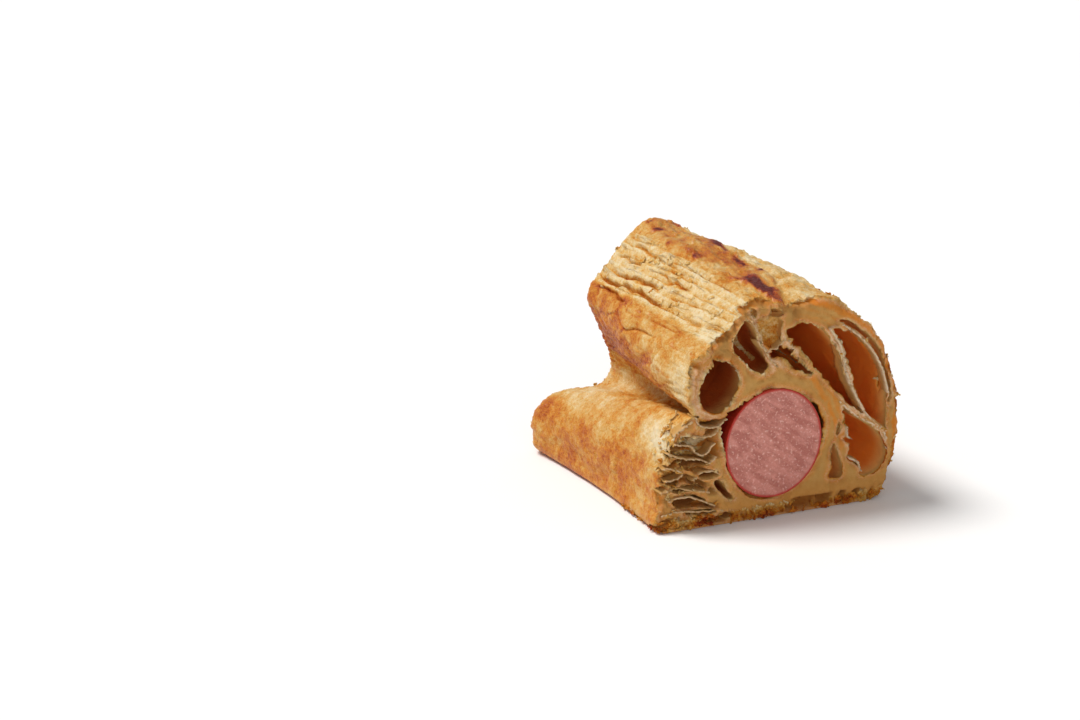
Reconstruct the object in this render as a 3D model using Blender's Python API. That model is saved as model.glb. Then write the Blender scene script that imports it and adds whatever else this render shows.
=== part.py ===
"""Half a sausage roll: one flat of puff pastry folded round a sausage and cut across.

Drawing frame, in millimetres: x runs across the roll from the open flaps to the closed fold,
y runs along it from the cut face to the baked end, and z is up from the surface it rests on.
"""
import math

import bmesh
import bpy

MM = 0.001

# ---- driving sizes, in millimetres
GAP = 0.3                       # clearance between the sausage and the pastry round it
SAUSAGE_HALF_WIDTH = 12.3
SAUSAGE_HALF_HEIGHT = 12.8
SAUSAGE_CUT_CENTRE = (29.7, 17.4)
SAUSAGE_END_CENTRE = (35.6, 18.0)
SAUSAGE_TIP = 60.0              # how far along the roll the sausage reaches
SAUSAGE_DOME = 15.0             # length of its rounded end
ROLL_LENGTH = 62.0
BORE_END = 69.0                 # past the baked end, so that the bore opens there
MOUTH_START = 40.0              # where the bore starts to widen into the drop-shaped mouth
LOOSE_END = 22.0                # how far in from the cut the gaps beside the sausage reach

# ---- how finely the surfaces are divided
POINTS_PER_SPAN = 4
STATIONS = 13
BORE_SIDES = 44
BORE_STATIONS = 9
SAUSAGE_SIDES = 48
SAUSAGE_STRAIGHT_SPANS = 5
SAUSAGE_DOME_ANGLES = (18, 34, 48, 60, 70, 78, 85)
POCKET_POINTS_PER_SPAN = 2
SHARP_ANGLE = 35.0              # edges sharper than this stay crisp, in degrees

# ---- guide lines of the pastry's skin, in order round the section. Each one gives its place
# (x, z) at the cut, in the middle and at the baked end, then how far along the roll it ends.
GUIDES = (
    ("sole_left", (2.2, -0.3), (3.2, -0.3), (1.8, -0.3), 64.0),
    ("sole_middle", (28.0, -0.6), (29.0, -0.6), (28.0, -0.6), 62.5),
    ("sole_right", (54.0, -0.4), (54.5, -0.4), (51.0, -0.4), 62.0),
    ("heel", (60.2, 3.6), (60.8, 3.6), (57.3, 3.8), 61.5),
    ("fold_low", (62.2, 9.5), (62.8, 9.5), (60.2, 10.0), 61.5),
    ("fold_middle", (62.3, 19.3), (63.0, 19.0), (60.8, 19.0), 61.5),
    ("fold_high", (61.4, 27.5), (62.0, 27.2), (59.6, 27.5), 61.5),
    ("shoulder_low", (59.4, 34.2), (59.6, 34.4), (56.8, 34.6), 61.5),
    ("shoulder", (56.2, 39.4), (56.0, 40.0), (53.2, 41.0), 61.5),
    ("shoulder_high", (50.4, 44.8), (50.0, 45.4), (47.4, 46.2), 62.0),
    ("crown_right", (43.2, 49.2), (43.4, 50.4), (40.8, 50.6), 62.0),
    ("crown", (35.6, 48.9), (37.2, 52.6), (35.4, 53.8), 62.0),
    ("crown_left", (29.2, 49.9), (31.6, 53.2), (30.6, 56.0), 62.0),
    ("ridge", (23.6, 50.6), (25.4, 52.8), (25.8, 55.4), 62.0),
    ("brow", (18.8, 45.6), (20.0, 49.0), (21.2, 50.9), 61.5),
    ("cheek", (14.2, 41.2), (15.2, 44.8), (17.2, 46.2), 61.0),
    ("nose_top", (10.4, 37.6), (10.2, 41.2), (12.1, 42.0), 60.0),
    ("nose", (8.9, 32.2), (8.6, 36.2), (11.0, 37.0), 59.0),
    ("lip_upper", (9.7, 27.0), (12.0, 28.0), (13.7, 29.8), 58.0),
    ("notch_roof", (13.0, 25.0), (15.8, 24.6), (15.6, 25.0), 57.5),
    ("notch_root", (20.6, 25.4), (17.7, 22.4), (16.6, 20.8), 57.5),
    ("notch_floor", (13.0, 24.0), (14.6, 21.2), (14.0, 17.4), 59.0),
    ("lip_lower", (8.9, 25.7), (9.8, 21.2), (9.0, 16.6), 61.5),
    ("flap_top", (4.9, 21.6), (4.6, 17.8), (3.4, 14.4), 63.0),
    ("flap_upper", (2.7, 15.6), (1.9, 12.0), (-0.4, 10.2), 64.0),
    ("flap_side", (1.7, 6.4), (1.4, 5.6), (-1.2, 5.2), 64.5),
)
MIDDLE_STATION = 0.5
END_ROUNDING = 3.0              # how far along the roll the baked end's edge is rounded
END_INSET = 1.9                 # how far that rounding draws the edge in
END_ROUNDING_ANGLES = (30.0, 60.0, 90.0)

# ---- steam pockets at the cut: outline (x, z), depth, and the drift (x, z) of their far end
POCKETS = {
    "round_pocket": (
        ((11.0, 28.6), (13.0, 26.7), (15.8, 26.4), (18.6, 28.2), (20.5, 31.2),
         (20.6, 34.2), (18.6, 36.8), (15.2, 38.0), (12.5, 36.4), (10.9, 33.0)),
        15.0, (1.5, 1.0)),
    "tall_pocket": (
        ((19.2, 41.4), (20.8, 39.0), (22.7, 37.2), (24.1, 35.0), (26.5, 33.8), (28.7, 34.8),
         (27.9, 36.4), (25.8, 38.4), (24.8, 41.2), (24.0, 44.4), (22.4, 46.2), (20.6, 44.2)),
        9.0, (1.0, 0.0)),
    "pale_pocket": (
        ((26.2, 41.6), (27.6, 40.4), (29.6, 40.9), (30.6, 43.2), (30.2, 45.6), (28.2, 46.8),
         (25.7, 46.4), (25.3, 44.2)),
        3.5, (0.5, 0.0)),
    "slanted_pocket": (
        ((28.4, 38.4), (30.6, 36.4), (33.8, 34.0), (37.2, 32.5), (39.6, 32.4), (37.8, 34.6),
         (35.2, 37.0), (33.4, 39.3), (31.0, 39.8)),
        9.0, (1.5, 0.0)),
    "great_pocket": (
        ((32.0, 42.6), (33.4, 40.0), (36.3, 36.9), (40.3, 32.9), (43.3, 29.4), (46.5, 26.8),
         (50.0, 23.8), (51.6, 23.6), (50.2, 26.9), (48.4, 30.4), (47.3, 33.6), (46.0, 37.0),
         (44.0, 40.0), (41.0, 43.0), (37.8, 44.6), (34.6, 44.7)),
        27.0, (1.0, 1.0)),
    "fold_pocket": (
        ((47.0, 41.4), (48.7, 37.2), (50.3, 32.7), (51.9, 28.8), (54.2, 23.8), (56.2, 19.9),
         (58.2, 17.6), (59.2, 20.0), (59.2, 24.6), (58.8, 29.0), (57.4, 33.2), (54.4, 37.0),
         (50.6, 40.4)),
        24.0, (0.0, 0.5)),
    "heel_pocket": (
        ((49.2, 22.2), (51.2, 20.2), (54.2, 18.4), (57.0, 16.2), (58.8, 14.2), (59.6, 11.2),
         (58.2, 8.0), (55.5, 6.2), (53.2, 6.0), (52.2, 9.0), (50.4, 10.6), (50.0, 13.6),
         (49.0, 15.8), (49.6, 17.4), (48.9, 19.4)),
        18.0, (-0.5, 0.0)),
    "thorn_pocket": (
        ((43.7, 7.6), (44.9, 10.3), (45.3, 13.4), (45.9, 15.4), (46.8, 12.8), (47.8, 9.7),
         (48.5, 7.1), (47.0, 5.9), (44.9, 6.2)),
        8.0, (0.0, 0.0)),
    "low_cell": (
        ((4.2, 6.4), (7.0, 4.8), (10.6, 5.0), (13.0, 6.2), (9.8, 7.9), (6.6, 7.9)),
        6.0, (0.0, 0.0)),
    "slit_cell": (
        ((14.7, 10.3), (15.8, 8.3), (18.2, 5.8), (20.3, 5.3), (18.2, 7.8), (16.4, 10.6)),
        8.0, (0.0, 0.0)),
    "side_cell": (
        ((2.9, 12.1), (3.4, 10.7), (4.8, 10.3), (6.2, 11.3), (6.0, 13.3), (4.2, 13.5)),
        4.0, (0.5, 0.0)),
    "middle_cell": (
        ((6.2, 15.0), (8.6, 13.9), (12.2, 14.2), (14.6, 15.2), (12.0, 16.8), (8.0, 16.8)),
        5.0, (0.0, 0.0)),
}
# how a pocket narrows on its way in: (share of its depth, share of its width)
POCKET_TAPER = ((0.0, 1.0), (0.45, 0.95), (0.8, 0.72), (1.0, 0.34))
POCKET_OVERSHOOT = 2.0          # how far a cutter stands out of the cut face

# ---- gaps between sausage and pastry: angle round the sausage, spread and width
BORE_GAPS = ((152.0, 17.0, 2.3), (17.0, 14.0, 1.9))
MOUTH_CLEARANCE = 1.8           # extra room round the sausage at the baked end
MOUTH_POINT = 2.4               # how far the mouth's point reaches towards the flaps
MOUTH_POINT_ANGLE = 178.0       # towards the flaps
MOUTH_POINT_SPREAD = 24.0

# ---- plain colours, linear
CRUST_COLOUR = (0.62, 0.38, 0.15)
CRUST_ROUGHNESS = 0.7
MEAT_COLOUR = (0.62, 0.22, 0.19)
MEAT_ROUGHNESS = 0.45


def clear_scene():
    for item in list(bpy.data.objects):
        bpy.data.objects.remove(item, do_unlink=True)


def new_collection(name):
    group = bpy.data.collections.new(name)
    bpy.context.scene.collection.children.link(group)
    return group


def new_material(name, colour, roughness):
    material = bpy.data.materials.new(name)
    material.use_nodes = True
    shader = material.node_tree.nodes["Principled BSDF"]
    shader.inputs["Base Color"].default_value = (*colour, 1.0)
    shader.inputs["Roughness"].default_value = roughness
    shader.inputs["Metallic"].default_value = 0.0
    return material


def smooth_step(value, start, end):
    """0 before start, 1 after end, and an even curve between them."""
    share = min(1.0, max(0.0, (value - start) / (end - start)))
    return share * share * (3.0 - 2.0 * share)


def blend(a, b, share):
    return tuple(p + (q - p) * share for p, q in zip(a, b))


def closed_curve(corners, per_span):
    """Points along the smooth closed curve that passes through the corners."""
    points = []
    count = len(corners)
    for index in range(count):
        before, start, end, after = (corners[(index + step) % count] for step in (-1, 0, 1, 2))
        for part in range(per_span):
            t = part / per_span
            points.append(tuple(
                0.5 * (2.0 * b + (c - a) * t + (2.0 * a - 5.0 * b + 4.0 * c - d) * t * t
                       + (3.0 * b - a - 3.0 * c + d) * t ** 3)
                for a, b, c, d in zip(before, start, end, after)))
    return points


def inset_curve(points, distance):
    """The same closed curve drawn in by a distance along its own normals."""
    count = len(points)
    result = []
    for index, (x, z) in enumerate(points):
        before = points[index - 1]
        after = points[(index + 1) % count]
        along = (after[0] - before[0], after[1] - before[1])
        length = math.hypot(*along)
        result.append((x - along[1] / length * distance, z + along[0] / length * distance))
    return result


def loft(name, rings, group, material):
    """A closed solid through rings of (x, y, z) points in millimetres, all of one count."""
    mesh = bpy.data.meshes.new(name)
    shape = bmesh.new()
    loops = [[shape.verts.new([value * MM for value in point]) for point in ring]
             for ring in rings]
    count = len(loops[0])
    for lower, upper in zip(loops, loops[1:]):
        for index in range(count):
            after = (index + 1) % count
            shape.faces.new((lower[index], lower[after], upper[after], upper[index]))
    for rim in (loops[0], loops[-1]):
        edges = [shape.edges.get((rim[index - 1], rim[index])) for index in range(count)]
        bmesh.ops.triangle_fill(shape, edges=edges, use_beauty=True, normal=(0.0, 1.0, 0.0))
    bmesh.ops.recalc_face_normals(shape, faces=shape.faces)
    shape.to_mesh(mesh)
    shape.free()
    mesh.shade_smooth()
    mesh.set_sharp_from_angle(angle=math.radians(SHARP_ANGLE))
    mesh.materials.append(material)
    item = bpy.data.objects.new(name, mesh)
    group.objects.link(item)
    return item


def guide_place(guide, share):
    """Where a guide line is at a share of the roll's length, on a parabola through its places."""
    _, cut, middle, end, _ = guide
    weights = (2.0 * (share - MIDDLE_STATION) * (share - 1.0),
               4.0 * share * (1.0 - share),
               2.0 * share * (share - MIDDLE_STATION))
    return tuple(sum(w * place[axis] for w, place in zip(weights, (cut, middle, end)))
                 for axis in (0, 1))


def skin_ring(share, inset=0.0, pull_back=0.0):
    """One ring of the pastry's skin, levelled where it rests."""
    outline = closed_curve([guide_place(guide, share) for guide in GUIDES], POINTS_PER_SPAN)
    if inset:
        outline = inset_curve(outline, inset)
    reach = closed_curve([(guide[4], 0.0) for guide in GUIDES], POINTS_PER_SPAN)
    return [(x, (length - END_ROUNDING) * share + pull_back, max(z, 0.0))
            for (x, z), (length, _) in zip(outline, reach)]


def make_skin(group, material):
    rings = [skin_ring(step / (STATIONS - 1)) for step in range(STATIONS)]
    for angle in END_ROUNDING_ANGLES:
        turn = math.radians(angle)
        rings.append(skin_ring(1.0, END_INSET * (1.0 - math.cos(turn)),
                               END_ROUNDING * math.sin(turn)))
    return loft("pastry", rings, group, material)


def sausage_centre(y):
    return blend(SAUSAGE_CUT_CENTRE, SAUSAGE_END_CENTRE, y / ROLL_LENGTH)


def sausage_share(y):
    """The sausage's size at y as a share of its full section, with a round end."""
    into_dome = (y - (SAUSAGE_TIP - SAUSAGE_DOME)) / SAUSAGE_DOME
    return math.sqrt(1.0 - into_dome ** 2) if into_dome > 0.0 else 1.0


def oval_ring(y, extra, share, sides):
    """A ring round the sausage's line; extra(angle in degrees) widens it."""
    centre = sausage_centre(y)
    ring = []
    for index in range(sides):
        angle = 360.0 * index / sides
        turn = math.radians(angle)
        ring.append((centre[0] + (SAUSAGE_HALF_WIDTH + extra(angle)) * share * math.cos(turn), y,
                     centre[1] + (SAUSAGE_HALF_HEIGHT + extra(angle)) * share * math.sin(turn)))
    return ring


def bump(angle, centre, spread):
    """A bell of height 1 round an angle, in degrees."""
    off = (angle - centre + 180.0) % 360.0 - 180.0
    return math.exp(-0.5 * (off / spread) ** 2)


def bore_extra(angle, y):
    mouth = smooth_step(y, MOUTH_START, ROLL_LENGTH)
    loose = 1.0 - smooth_step(y, 0.0, LOOSE_END)
    gaps = sum(width * bump(angle, at, spread) for at, spread, width in BORE_GAPS)
    drop = MOUTH_CLEARANCE + MOUTH_POINT * bump(angle, MOUTH_POINT_ANGLE, MOUTH_POINT_SPREAD)
    return GAP + gaps * loose + drop * mouth


def make_bore(group, material):
    rings = []
    for step in range(BORE_STATIONS):
        y = -POCKET_OVERSHOOT + (BORE_END + POCKET_OVERSHOOT) * step / (BORE_STATIONS - 1)
        rings.append(oval_ring(y, lambda angle: bore_extra(angle, y), 1.0, BORE_SIDES))
    return loft("bore_cutter", rings, group, material)


def make_sausage(group, material):
    straight = SAUSAGE_TIP - SAUSAGE_DOME
    places = [straight * step / SAUSAGE_STRAIGHT_SPANS for step in range(SAUSAGE_STRAIGHT_SPANS + 1)]
    places += [straight + SAUSAGE_DOME * math.sin(math.radians(angle))
               for angle in SAUSAGE_DOME_ANGLES]
    rings = [oval_ring(y, lambda angle: 0.0, sausage_share(y), SAUSAGE_SIDES) for y in places]
    return loft("sausage", rings, group, material)


def make_pocket(name, corners, depth, drift, group, material):
    outline = closed_curve(corners, POCKET_POINTS_PER_SPAN)
    centre = [sum(values) / len(outline) for values in zip(*outline)]
    rings = [[(x, -POCKET_OVERSHOOT, z) for x, z in outline]]
    for along, width in POCKET_TAPER:
        rings.append([(centre[0] + (x - centre[0]) * width + drift[0] * along, depth * along,
                       centre[1] + (z - centre[1]) * width + drift[1] * along)
                      for x, z in outline])
    return loft(name, rings, group, material)


def cut(target, cutter):
    cutter.hide_render = True
    cutter.display_type = "WIRE"
    modifier = target.modifiers.new("cut_" + cutter.name, "BOOLEAN")
    modifier.operation = "DIFFERENCE"
    modifier.solver = "EXACT"
    modifier.object = cutter


def place_on_origin(parts, cutters):
    """Move everything so that the middle of the whole base is the origin."""
    lows, highs = [], []
    for item in parts:
        corners = [vertex.co for vertex in item.data.vertices]
        lows.append([min(corner[axis] for corner in corners) for axis in range(3)])
        highs.append([max(corner[axis] for corner in corners) for axis in range(3)])
    low = [min(values) for values in zip(*lows)]
    high = [max(values) for values in zip(*highs)]
    middle = ((low[0] + high[0]) / 2.0, (low[1] + high[1]) / 2.0, low[2])
    for item in parts + cutters:
        for vertex in item.data.vertices:
            vertex.co = [value - shift for value, shift in zip(vertex.co, middle)]
    return middle


def main():
    clear_scene()
    roll = new_collection("sausage_roll")
    tools = new_collection("cutters")
    crust = new_material("baked_puff_pastry", CRUST_COLOUR, CRUST_ROUGHNESS)
    meat = new_material("cooked_sausage", MEAT_COLOUR, MEAT_ROUGHNESS)

    pastry = make_skin(roll, crust)
    sausage = make_sausage(roll, meat)
    cutters = [make_bore(tools, crust)]
    for name, (corners, depth, drift) in POCKETS.items():
        cutters.append(make_pocket(name, corners, depth, drift, tools, crust))
    shift = place_on_origin([pastry, sausage], cutters)
    for cutter in cutters:
        cut(pastry, cutter)
    print("drawing frame moved by", [round(value / MM, 3) for value in shift], "mm")


main()
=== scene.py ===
# %% [markdown]
# # Half a sausage roll
# One flat of puff pastry is folded round a cooked sausage, baked until the layers lift, and cut
# across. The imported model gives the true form. Here the pastry gets what baking does to it:
# lifted layers, blisters, torn pocket rims, a browned crust. Lengths are in millimetres in a
# drawing frame whose corner is the cut face's lower left one: x runs across the roll towards the
# closed fold, y runs from the cut to the baked end, and z is up.

import math
from itertools import product

import bmesh
import bpy
import numpy as np
from mathutils import Matrix, Vector
from mathutils.bvhtree import BVHTree
from mathutils.kdtree import KDTree


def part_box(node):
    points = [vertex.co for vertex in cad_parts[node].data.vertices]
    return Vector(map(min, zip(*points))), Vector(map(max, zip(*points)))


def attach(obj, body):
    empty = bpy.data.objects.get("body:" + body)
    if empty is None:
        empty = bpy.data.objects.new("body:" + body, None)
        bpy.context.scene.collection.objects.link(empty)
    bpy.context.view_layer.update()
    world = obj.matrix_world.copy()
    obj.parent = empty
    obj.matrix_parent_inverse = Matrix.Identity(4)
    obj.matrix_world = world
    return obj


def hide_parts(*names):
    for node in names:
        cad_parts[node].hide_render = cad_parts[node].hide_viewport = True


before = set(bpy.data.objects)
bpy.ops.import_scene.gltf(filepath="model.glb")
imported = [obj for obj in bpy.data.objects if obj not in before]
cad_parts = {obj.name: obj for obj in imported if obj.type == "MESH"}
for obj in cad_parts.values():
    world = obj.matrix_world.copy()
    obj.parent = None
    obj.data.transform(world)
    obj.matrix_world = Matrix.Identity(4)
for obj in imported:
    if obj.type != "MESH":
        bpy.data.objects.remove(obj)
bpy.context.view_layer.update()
MM = 0.001
FLAP_BULGE = 1.387              # how far the lower flap stands out left of the cut's corner
PASTRY_LOW, PASTRY_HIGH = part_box("pastry")
CORNER = np.array(PASTRY_LOW) + np.array((FLAP_BULGE * MM, 0.0, 0.0))
ROLL_LENGTH = (PASTRY_HIGH.y - PASTRY_LOW.y) / MM
ROLL_WIDTH = (PASTRY_HIGH.x - PASTRY_LOW.x) / MM
print("pastry", round(ROLL_WIDTH, 1), "mm wide and", round(ROLL_LENGTH, 1), "mm long")

# %% [markdown]
# ## Small tools
# Most of the surface work is done on whole arrays of points, which is quick even on half a
# million of them, where a loop over the points would take minutes. The noise is the usual kind:
# random values on a lattice, eased between the lattice points. Stretching the lattice along the
# roll gives the long streaks of folded dough.

# %% Noise, steps and bands on arrays of points
def lattice(cell, seed):
    """A repeatable value from -1 to 1 for each lattice cell."""
    number = (cell[:, 0] * 374761393 + cell[:, 1] * 668265263 + cell[:, 2] * 1442695041
              + seed * 974634777) & 0xFFFFFFFF
    number = ((number ^ (number >> 13)) * 1274126177) & 0xFFFFFFFF
    return ((number ^ (number >> 16)) & 0xFFFF) / 32767.5 - 1.0


def noise(points, size, seed):
    """Smooth noise from -1 to 1; size is the lattice spacing in mm, one value or three."""
    scaled = points / np.broadcast_to(np.asarray(size, float), (3,))
    cell = np.floor(scaled).astype(np.int64)
    part = scaled - cell
    ease = part * part * (3.0 - 2.0 * part)
    total = np.zeros(len(points))
    for corner in product((0, 1), repeat=3):
        weight = np.prod(np.where(corner, ease, 1.0 - ease), axis=1)
        total += weight * lattice(cell + np.array(corner), seed)
    return total


def fractal(points, size, seed, octaves=3):
    """Noise with finer and weaker noise added to it."""
    size = np.broadcast_to(np.asarray(size, float), (3,))
    total = np.zeros(len(points))
    for octave in range(octaves):
        total += noise(points, size / 2.0 ** octave, seed + 17 * octave) / 2.0 ** octave
    return total


def step(value, start, end):
    """0 at start, 1 at end, and an even curve between them."""
    share = np.clip((value - start) / (end - start), 0.0, 1.0)
    return share * share * (3.0 - 2.0 * share)


def band(value, start, end, soft):
    """1 between start and end, and fading to 0 over a soft width outside them."""
    return step(value, start - soft, start) * (1.0 - step(value, end, end + soft))


def bell(distance, width):
    """1 at no distance, and falling off smoothly within about the width."""
    return np.exp(-(distance / width) ** 2)


print("a bell at its own width:", round(float(bell(1.0, 1.0)), 2))

# %% Meshes to arrays and back
def read_points(mesh):
    """The mesh's points in the drawing frame, in millimetres."""
    flat = np.empty(len(mesh.vertices) * 3, np.float32)
    mesh.vertices.foreach_get("co", flat)
    return (flat.reshape(-1, 3).astype(float) - CORNER) / MM


def write_points(mesh, points):
    mesh.vertices.foreach_set("co", (points * MM + CORNER).astype(np.float32).ravel())
    mesh.update()


def read_normals(mesh):
    flat = np.empty(len(mesh.vertices) * 3, np.float32)
    mesh.vertex_normals.foreach_get("vector", flat)
    return flat.reshape(-1, 3).astype(float)


def read_edges(mesh):
    flat = np.empty(len(mesh.edges) * 2, np.int32)
    mesh.edges.foreach_get("vertices", flat)
    return flat.reshape(-1, 2)


def set_attribute(mesh, name, values):
    """Store one number for each point, for the materials to read."""
    layer = mesh.attributes.get(name) or mesh.attributes.new(name, "FLOAT", "POINT")
    layer.data.foreach_set("value", values.astype(np.float32))


def relax(points, edges, rounds, strength, freedom):
    """Draw each point towards the middle of its neighbours; freedom is 0 to 1 for each axis."""
    neighbours = np.bincount(edges.ravel(), minlength=len(points))
    for _ in range(rounds):
        for axis in range(3):
            line = points[:, axis]
            total = (np.bincount(edges[:, 0], line[edges[:, 1]], len(points))
                     + np.bincount(edges[:, 1], line[edges[:, 0]], len(points)))
            line += strength * freedom[:, axis] * (total / neighbours - line)
    return points


def add_object(name, mesh):
    item = bpy.data.objects.new(name, mesh)
    bpy.context.scene.collection.objects.link(item)
    return item


def object_from(shape, name):
    """Turn a bmesh into a new object, and free it."""
    mesh = bpy.data.meshes.new(name)
    shape.to_mesh(mesh)
    shape.free()
    return add_object(name, mesh)


def extrude_line(shape, edges, matrix):
    """Extrude a line of edges, move the new line by the matrix, and return its edges."""
    new = bmesh.ops.extrude_edge_only(shape, edges=edges)["geom"]
    corners = {part for part in new if isinstance(part, bmesh.types.BMVert)}
    bmesh.ops.transform(shape, matrix=matrix, verts=list(corners))
    return [part for part in new if isinstance(part, bmesh.types.BMEdge)
            and corners.issuperset(part.verts)]


def place(x, y, z):
    """A point of the drawing frame, in metres, where the model stands."""
    return Vector(np.array((x, y, z)) * MM + CORNER)


def finish_modifiers(item):
    """Put the result of the object's modifiers into its mesh."""
    graph = bpy.context.evaluated_depsgraph_get()
    mesh = bpy.data.meshes.new_from_object(item.evaluated_get(graph))
    old = item.data
    item.modifiers.clear()
    item.data = mesh
    bpy.data.meshes.remove(old)


print("the packed pastry has", len(read_points(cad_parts["pastry"].data)), "points")

# %% [markdown]
# ## The camera
# It stands where it sees the cut face turned a little away, the flaps to the left and the crown
# from above, with a short telephoto lens, as for food on a table.

# %% Camera
CAMERA_PLACE = (-242.85, -471.37, 203.17)
CAMERA_AZIMUTH = math.radians(-24.50)
CAMERA_ELEVATION = math.radians(17.05)
LENS = 85.0

camera_data = bpy.data.cameras.new("camera")
camera_data.lens = LENS
camera_data.sensor_width = 36.0
camera_data.clip_start = 0.01
camera = bpy.data.objects.new("camera", camera_data)
bpy.context.scene.collection.objects.link(camera)
camera.location = place(*CAMERA_PLACE)
camera.rotation_euler = (math.pi / 2.0 - CAMERA_ELEVATION, 0.0, CAMERA_AZIMUTH)
bpy.context.scene.camera = camera
print("camera is", round((camera.location - place(31, 31, 25)).length, 3), "m from the roll")

# %% [markdown]
# ## Where the layers are
# Puff pastry is hundreds of sheets of dough. Folded round the sausage, they form a U: round on
# the fold's side, flat along both flaps. One number says how deep in the pile a point lies: its
# distance from the U's middle line. Wherever the surface crosses the pile, lines of even depth
# show as the thin edges of layers.

# %% The sausage's line and the depth in the pile of layers
SAUSAGE_CUT = np.array((29.7, 17.4))
SAUSAGE_END = np.array((35.6, 18.0))
SAUSAGE_LINE_LENGTH = 62.0
SAUSAGE_HALF_WIDTH = 12.3
SAUSAGE_HALF_HEIGHT = 12.8
TURN_CENTRE = (30.0, 22.0)      # the point that the section is seen round, for angles


def sausage_centre(y):
    share = np.asarray(y, float)[..., None] / SAUSAGE_LINE_LENGTH
    return SAUSAGE_CUT + (SAUSAGE_END - SAUSAGE_CUT) * share


def layer_depth(points):
    centre = sausage_centre(points[:, 1])
    right = np.maximum(points[:, 0] - centre[:, 0], 0.0)
    return np.hypot(right, points[:, 2] - centre[:, 1])


def section_angle(points):
    """The angle round the section in degrees: 0 at the fold, 90 at the crown, 180 at the flaps."""
    angle = np.degrees(np.arctan2(points[:, 2] - TURN_CENTRE[1], points[:, 0] - TURN_CENTRE[0]))
    return np.where(angle < -90.0, angle + 360.0, angle)


print("the sausage drifts", round(float(sausage_centre(ROLL_LENGTH)[0] - SAUSAGE_CUT[0]), 1), "mm")

# %% [markdown]
# ## A working copy of the pastry
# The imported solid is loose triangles, so its copy is merged first. Each steam pocket is then
# carved with a tapering plug, which leaves only films between the large ones, and so are the
# small cells between the sheets of the lower flap. A voxel remesh then turns everything into
# one even skin that can be sculpted.

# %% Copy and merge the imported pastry
VOXEL = 0.26 * MM


def merged_copy(node, name):
    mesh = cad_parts[node].data.copy()
    shape = bmesh.new()
    shape.from_mesh(mesh)
    bmesh.ops.remove_doubles(shape, verts=shape.verts, dist=1e-6)
    shape.to_mesh(mesh)
    shape.free()
    mesh.materials.clear()
    return add_object(name, mesh)


pastry = merged_copy("pastry", "pastry_body")
print("working copy:", len(pastry.data.vertices), "points")

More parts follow.
